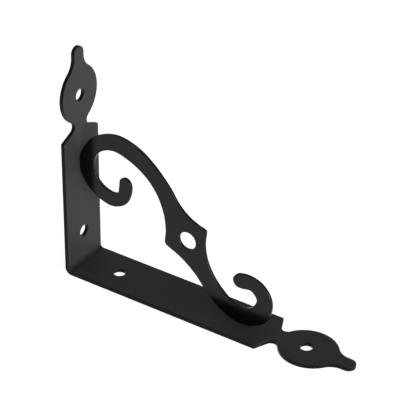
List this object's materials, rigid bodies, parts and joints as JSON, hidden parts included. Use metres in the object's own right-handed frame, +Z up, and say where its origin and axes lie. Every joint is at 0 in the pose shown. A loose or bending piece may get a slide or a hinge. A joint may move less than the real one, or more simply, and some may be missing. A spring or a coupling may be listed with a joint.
{
  "type": "shelf bracket",
  "caption": "Right-angled shelf bracket in black painted flat steel, with leaf-shaped arm ends and a flat scroll brace standing in the corner.",
  "frame": {"origin": "under the middle of the bracket's bounding box, on the plane that the shelf arm's outer face lies on; the outer corner of the bend is at x = -0.0876", "axes": "+X runs out from the wall along the shelf arm, +Y across the strap's width, +Z up along the wall arm"},
  "size_m": [0.1752, 0.03, 0.1344],
  "materials": {
    "strap_paint": "satin black powder coat on sheared and bent flat steel",
    "brace_paint": "satin black powder coat on punched sheet steel"
  },
  "bodies": {
    "root": {"bent_strap": "strap_paint", "scroll_brace": "brace_paint"}
  },
  "joints": []
}
